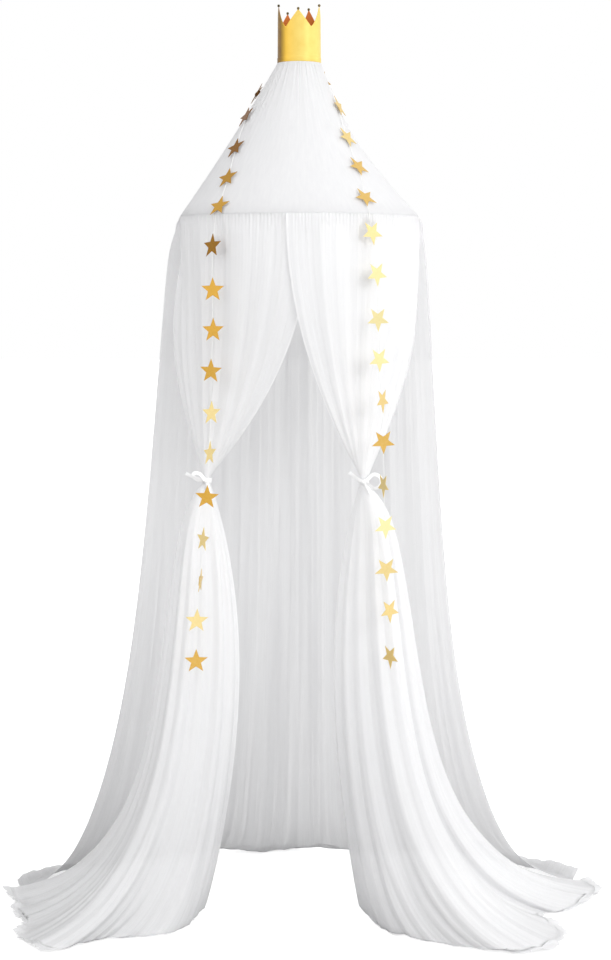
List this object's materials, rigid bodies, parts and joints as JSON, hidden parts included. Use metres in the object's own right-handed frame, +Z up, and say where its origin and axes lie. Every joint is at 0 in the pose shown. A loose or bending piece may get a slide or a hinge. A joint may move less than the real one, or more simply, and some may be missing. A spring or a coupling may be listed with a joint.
{
  "type": "bed canopy",
  "caption": "Hanging bed canopy: gold crown on a pleated cone over a round hoop, with sheer nets tied back at the front that run out on the floor, and a garland of stars on a thread.",
  "frame": {"origin": "inside top of the steel hanging ring in the crown, where a ceiling hook carries the canopy", "axes": "+Z up along the canopy axis, front with the opening between the tied-back nets towards -Y, +X to the right of a viewer in front"},
  "size_m": [1.637, 0.8003, 2.3396],
  "materials": {
    "crown_gold": "satin gold lacquer",
    "star_foil": "gold foil on card",
    "cover_cotton": "matt white lining cloth",
    "sheer_net": "sheer white net",
    "ribbon": "white ribbon",
    "thread": "white cotton thread",
    "hoop_plastic": "plain",
    "steel": "plated"
  },
  "bodies": {
    "canopy": {"back_net": "sheer_net", "cone_cover": "cover_cotton", "crown": "crown_gold", "garland_thread_top": "thread", "hanging_loop": "ribbon", "hoop_connector_1": "hoop_plastic", "hoop_connector_2": "hoop_plastic", "hoop_connector_3": "hoop_plastic", "hoop_connector_4": "hoop_plastic", "hoop_rod_1": "hoop_plastic", "hoop_rod_2": "hoop_plastic", "hoop_rod_3": "hoop_plastic", "hoop_rod_4": "hoop_plastic", "hoop_sleeve": "cover_cotton", "left_front_panel": "sheer_net", "left_tie_band": "ribbon", "left_tie_bow": "ribbon", "neck_cap": "cover_cotton", "neck_ring": "steel", "right_front_panel": "sheer_net", "right_tie_band": "ribbon", "right_tie_bow": "ribbon", "star_cone_01": "star_foil", "star_cone_02": "star_foil", "star_cone_03": "star_foil", "star_cone_04": "star_foil", "star_cone_05": "star_foil", "star_cone_06": "star_foil", "star_cone_07": "star_foil", "star_cone_08": "star_foil", "star_cone_09": "star_foil", "star_cone_10": "star_foil", "star_cone_11": "star_foil"},
    "eye_ring": {"hanging_ring": "steel"},
    "garland_left": {"garland_thread_left": "thread"},
    "garland_right": {"garland_thread_right": "thread"},
    "star_left_01_body": {"star_left_01": "star_foil"},
    "star_left_02_body": {"star_left_02": "star_foil"},
    "star_left_03_body": {"star_left_03": "star_foil"},
    "star_left_04_body": {"star_left_04": "star_foil"},
    "star_left_05_body": {"star_left_05": "star_foil"},
    "star_left_06_body": {"star_left_06": "star_foil"},
    "star_left_07_body": {"star_left_07": "star_foil"},
    "star_left_08_body": {"star_left_08": "star_foil"},
    "star_left_09_body": {"star_left_09": "star_foil"},
    "star_left_10_body": {"star_left_10": "star_foil"},
    "star_left_11_body": {"star_left_11": "star_foil"},
    "star_right_01_body": {"star_right_01": "star_foil"},
    "star_right_02_body": {"star_right_02": "star_foil"},
    "star_right_03_body": {"star_right_03": "star_foil"},
    "star_right_04_body": {"star_right_04": "star_foil"},
    "star_right_05_body": {"star_right_05": "star_foil"},
    "star_right_06_body": {"star_right_06": "star_foil"},
    "star_right_07_body": {"star_right_07": "star_foil"},
    "star_right_08_body": {"star_right_08": "star_foil"},
    "star_right_09_body": {"star_right_09": "star_foil"},
    "star_right_10_body": {"star_right_10": "star_foil"},
    "star_right_11_body": {"star_right_11": "star_foil"}
  },
  "joints": [
    {"name": "eye_ring_tilt", "type": "hinge", "parent": "canopy", "child": "eye_ring", "pos_m": [0, 0, -0.024], "axis": [1, 0, 0], "range_deg": [-75, 75]},
    {"name": "garland_left_swing", "type": "hinge", "parent": "canopy", "child": "garland_left", "pos_m": [-0.2016, -0.2262, -0.463], "axis": [-0.7465, 0.6653, 0], "range_deg": [0, 60]},
    {"name": "garland_right_swing", "type": "hinge", "parent": "canopy", "child": "garland_right", "pos_m": [0.1684, -0.2518, -0.463], "axis": [-0.8312, -0.5559, 0], "range_deg": [0, 60]},
    {"name": "star_left_01_spin", "type": "hinge", "parent": "garland_left", "child": "star_left_01_body", "pos_m": [-0.2075, -0.2473, -0.542], "axis": [0.0665, 0.1734, 0.9826], "continuous": true},
    {"name": "star_left_02_spin", "type": "hinge", "parent": "garland_left", "child": "star_left_02_body", "pos_m": [-0.209, -0.255, -0.647], "axis": [0, 0.0179, 0.9998], "continuous": true},
    {"name": "star_left_03_spin", "type": "hinge", "parent": "garland_left", "child": "star_left_03_body", "pos_m": [-0.209, -0.256, -0.744], "axis": [0.0204, -0.0153, 0.9997], "continuous": true},
    {"name": "star_left_04_spin", "type": "hinge", "parent": "garland_left", "child": "star_left_04_body", "pos_m": [-0.213, -0.252, -0.843], "axis": [0.0298, -0.0149, 0.9994], "continuous": true},
    {"name": "star_left_05_spin", "type": "hinge", "parent": "garland_left", "child": "star_left_05_body", "pos_m": [-0.215, -0.253, -0.945], "axis": [0.035, 0.0125, 0.9993], "continuous": true},
    {"name": "star_left_06_spin", "type": "hinge", "parent": "garland_left", "child": "star_left_06_body", "pos_m": [-0.22, -0.2545, -1.043], "axis": [0.0509, 0.017, 0.9986], "continuous": true},
    {"name": "star_left_07_spin", "type": "hinge", "parent": "garland_left", "child": "star_left_07_body", "pos_m": [-0.2255, -0.2565, -1.151], "axis": [0.0635, 0.0259, 0.9976], "continuous": true},
    {"name": "star_left_08_spin", "type": "hinge", "parent": "garland_left", "child": "star_left_08_body", "pos_m": [-0.2335, -0.26, -1.255], "axis": [0.0894, 0.0411, 0.9952], "continuous": true},
    {"name": "star_left_09_spin", "type": "hinge", "parent": "garland_left", "child": "star_left_09_body", "pos_m": [-0.244, -0.265, -1.357], "axis": [0.092, 0.0522, 0.9944], "continuous": true},
    {"name": "star_left_10_spin", "type": "hinge", "parent": "garland_left", "child": "star_left_10_body", "pos_m": [-0.252, -0.2705, -1.455], "axis": [0.0504, 0.0504, 0.9975], "continuous": true},
    {"name": "star_left_11_spin", "type": "hinge", "parent": "garland_left", "child": "star_left_11_body", "pos_m": [-0.254, -0.275, -1.555], "axis": [0.019, 0.0416, 0.999], "continuous": true},
    {"name": "star_right_01_spin", "type": "hinge", "parent": "garland_right", "child": "star_right_01_body", "pos_m": [0.1745, -0.2665, -0.511], "axis": [0.1349, -0.1602, -0.9778], "continuous": true},
    {"name": "star_right_02_spin", "type": "hinge", "parent": "garland_right", "child": "star_right_02_body", "pos_m": [0.186, -0.2705, -0.609], "axis": [0.0717, 0, -0.9974], "continuous": true},
    {"name": "star_right_03_spin", "type": "hinge", "parent": "garland_right", "child": "star_right_03_body", "pos_m": [0.1915, -0.271, -0.717], "axis": [0.0317, -0.0073, -0.9995], "continuous": true},
    {"name": "star_right_04_spin", "type": "hinge", "parent": "garland_right", "child": "star_right_04_body", "pos_m": [0.1925, -0.272, -0.814], "axis": [0.0433, -0.0102, -0.999], "continuous": true},
    {"name": "star_right_05_spin", "type": "hinge", "parent": "garland_right", "child": "star_right_05_body", "pos_m": [0.2, -0.273, -0.913], "axis": [0.0577, -0.01, -0.9983], "continuous": true},
    {"name": "star_right_06_spin", "type": "hinge", "parent": "garland_right", "child": "star_right_06_body", "pos_m": [0.204, -0.274, -1.013], "axis": [0.034, -0.0121, -0.9993], "continuous": true},
    {"name": "star_right_07_spin", "type": "hinge", "parent": "garland_right", "child": "star_right_07_body", "pos_m": [0.207, -0.2755, -1.119], "axis": [0.0266, -0.0169, -0.9995], "continuous": true},
    {"name": "star_right_08_spin", "type": "hinge", "parent": "garland_right", "child": "star_right_08_body", "pos_m": [0.2095, -0.2775, -1.22], "axis": [0.0291, -0.0243, -0.9993], "continuous": true},
    {"name": "star_right_09_spin", "type": "hinge", "parent": "garland_right", "child": "star_right_09_body", "pos_m": [0.213, -0.2805, -1.325], "axis": [0.0506, -0.0338, -0.9981], "continuous": true},
    {"name": "star_right_10_spin", "type": "hinge", "parent": "garland_right", "child": "star_right_10_body", "pos_m": [0.22, -0.2845, -1.427], "axis": [0.0557, -0.0394, -0.9977], "continuous": true},
    {"name": "star_right_11_spin", "type": "hinge", "parent": "garland_right", "child": "star_right_11_body", "pos_m": [0.225, -0.289, -1.54], "axis": [0.0402, -0.0369, -0.9985], "continuous": true}
  ]
}
